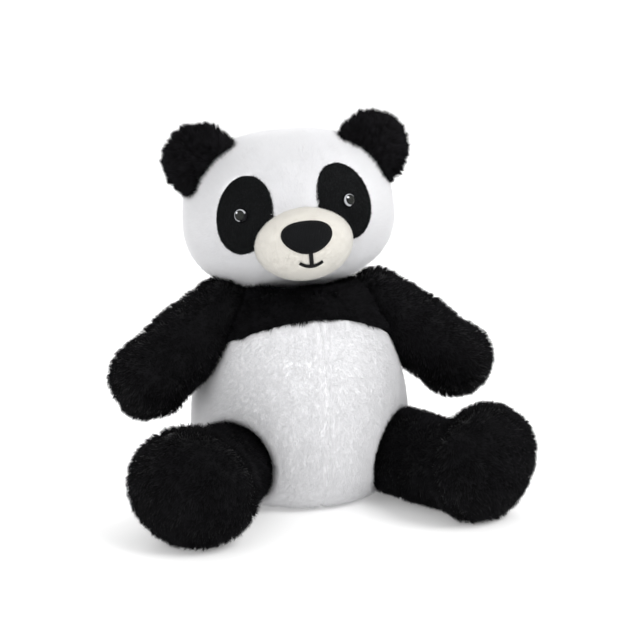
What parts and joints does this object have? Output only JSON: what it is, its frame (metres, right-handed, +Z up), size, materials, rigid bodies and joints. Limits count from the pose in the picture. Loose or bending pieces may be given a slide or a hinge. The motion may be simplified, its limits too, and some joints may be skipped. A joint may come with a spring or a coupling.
{
  "type": "plush panda",
  "caption": "Seated stuffed panda with black limbs, ears and eye patches, whose head, ears, arms and legs bend on their seams.",
  "frame": {"origin": "centre of the round base, on the floor", "axes": "+Z up, -Y the way the panda faces, +X the panda's left side"},
  "size_m": [0.298, 0.2326, 0.292],
  "materials": {
    "white_plush": "short dense pile",
    "black_plush": "long pile",
    "black_velour": "short velour",
    "cream_velour": "short velour",
    "fibre_fill": "loose polyester fibre",
    "pellet_cloth": "plain weave",
    "white_thread": "twisted thread",
    "black_thread": "satin stitch",
    "eye_gloss": "polished",
    "washer_plastic": "moulded"
  },
  "bodies": {
    "torso": {"belly_panel_left": "white_plush", "belly_panel_right": "white_plush", "back_panel_left": "white_plush", "back_panel_right": "white_plush", "front_seam": "white_thread", "back_seam": "white_thread", "shoulder_yoke": "black_plush", "base_panel": "white_plush", "torso_stuffing": "fibre_fill", "pellet_bag": "pellet_cloth"},
    "neck": {"neck_plug": "fibre_fill"},
    "head": {"head_front": "white_plush", "head_back": "white_plush", "head_seam": "white_thread", "head_stuffing": "fibre_fill", "muzzle": "cream_velour", "muzzle_stuffing": "fibre_fill", "nose": "black_velour", "mouth_stitch": "black_thread", "eye_patch_left": "black_velour", "eye_left": "eye_gloss", "eye_washer_left": "washer_plastic", "eye_patch_right": "black_velour", "eye_right": "eye_gloss", "eye_washer_right": "washer_plastic"},
    "ear_left": {"ear_front_left": "black_plush", "ear_back_left": "black_plush"},
    "shoulder_left": {"shoulder_plug_left": "fibre_fill"},
    "arm_left": {"arm_cover_left": "black_plush", "arm_stuffing_left": "fibre_fill"},
    "hip_left": {"hip_plug_left": "fibre_fill"},
    "leg_left": {"leg_cover_left": "black_plush", "leg_stuffing_left": "fibre_fill"},
    "ear_right": {"ear_front_right": "black_plush", "ear_back_right": "black_plush"},
    "shoulder_right": {"shoulder_plug_right": "fibre_fill"},
    "arm_right": {"arm_cover_right": "black_plush", "arm_stuffing_right": "fibre_fill"},
    "hip_right": {"hip_plug_right": "fibre_fill"},
    "leg_right": {"leg_cover_right": "black_plush", "leg_stuffing_right": "fibre_fill"}
  },
  "joints": [
    {"name": "neck_turn", "type": "hinge", "parent": "torso", "child": "neck", "pos_m": [-0.007, 0.008, 0.164], "axis": [0, 0, 1], "range_deg": [-30, 30], "stiffness_Nm_per_rad": 2},
    {"name": "head_nod", "type": "hinge", "parent": "neck", "child": "head", "pos_m": [-0.007, 0.008, 0.164], "axis": [0.9903, -0.1392, 0], "range_deg": [-8, 4], "stiffness_Nm_per_rad": 3},
    {"name": "ear_fold_left", "type": "hinge", "parent": "head", "child": "ear_left", "pos_m": [0.04785, -0.01177, 0.26143], "axis": [0.7143, -0.1724, -0.6783], "range_deg": [-12, 20], "stiffness_Nm_per_rad": 0.05},
    {"name": "arm_swing_left", "type": "hinge", "parent": "torso", "child": "shoulder_left", "pos_m": [0.06, 0, 0.148], "axis": [-1, 0, 0], "range_deg": [-15, 35], "stiffness_Nm_per_rad": 0.6},
    {"name": "arm_raise_left", "type": "hinge", "parent": "shoulder_left", "child": "arm_left", "pos_m": [0.06, 0, 0.148], "axis": [0, -1, 0], "range_deg": [0, 55], "stiffness_Nm_per_rad": 0.6},
    {"name": "leg_splay_left", "type": "hinge", "parent": "torso", "child": "hip_left", "pos_m": [0.066, -0.042, 0.035], "axis": [0, 0, 1], "range_deg": [-15, 15], "stiffness_Nm_per_rad": 1},
    {"name": "leg_lift_left", "type": "hinge", "parent": "hip_left", "child": "leg_left", "pos_m": [0.066, -0.042, 0.035], "axis": [-0.8572, -0.515, 0], "range_deg": [0, 22], "stiffness_Nm_per_rad": 1.2},
    {"name": "ear_fold_right", "type": "hinge", "parent": "head", "child": "ear_right", "pos_m": [-0.06825, 0.00378, 0.25423], "axis": [0.6076, -0.0011, 0.7943], "range_deg": [-12, 20], "stiffness_Nm_per_rad": 0.05},
    {"name": "arm_swing_right", "type": "hinge", "parent": "torso", "child": "shoulder_right", "pos_m": [-0.06, 0, 0.148], "axis": [-1, 0, 0], "range_deg": [-15, 35], "stiffness_Nm_per_rad": 0.6},
    {"name": "arm_raise_right", "type": "hinge", "parent": "shoulder_right", "child": "arm_right", "pos_m": [-0.06, 0, 0.148], "axis": [0, 1, 0], "range_deg": [0, 55], "stiffness_Nm_per_rad": 0.6},
    {"name": "leg_splay_right", "type": "hinge", "parent": "torso", "child": "hip_right", "pos_m": [-0.066, -0.042, 0.035], "axis": [0, 0, -1], "range_deg": [-15, 15], "stiffness_Nm_per_rad": 1},
    {"name": "leg_lift_right", "type": "hinge", "parent": "hip_right", "child": "leg_right", "pos_m": [-0.066, -0.042, 0.035], "axis": [-0.8572, 0.515, 0], "range_deg": [0, 22], "stiffness_Nm_per_rad": 1.2}
  ]
}
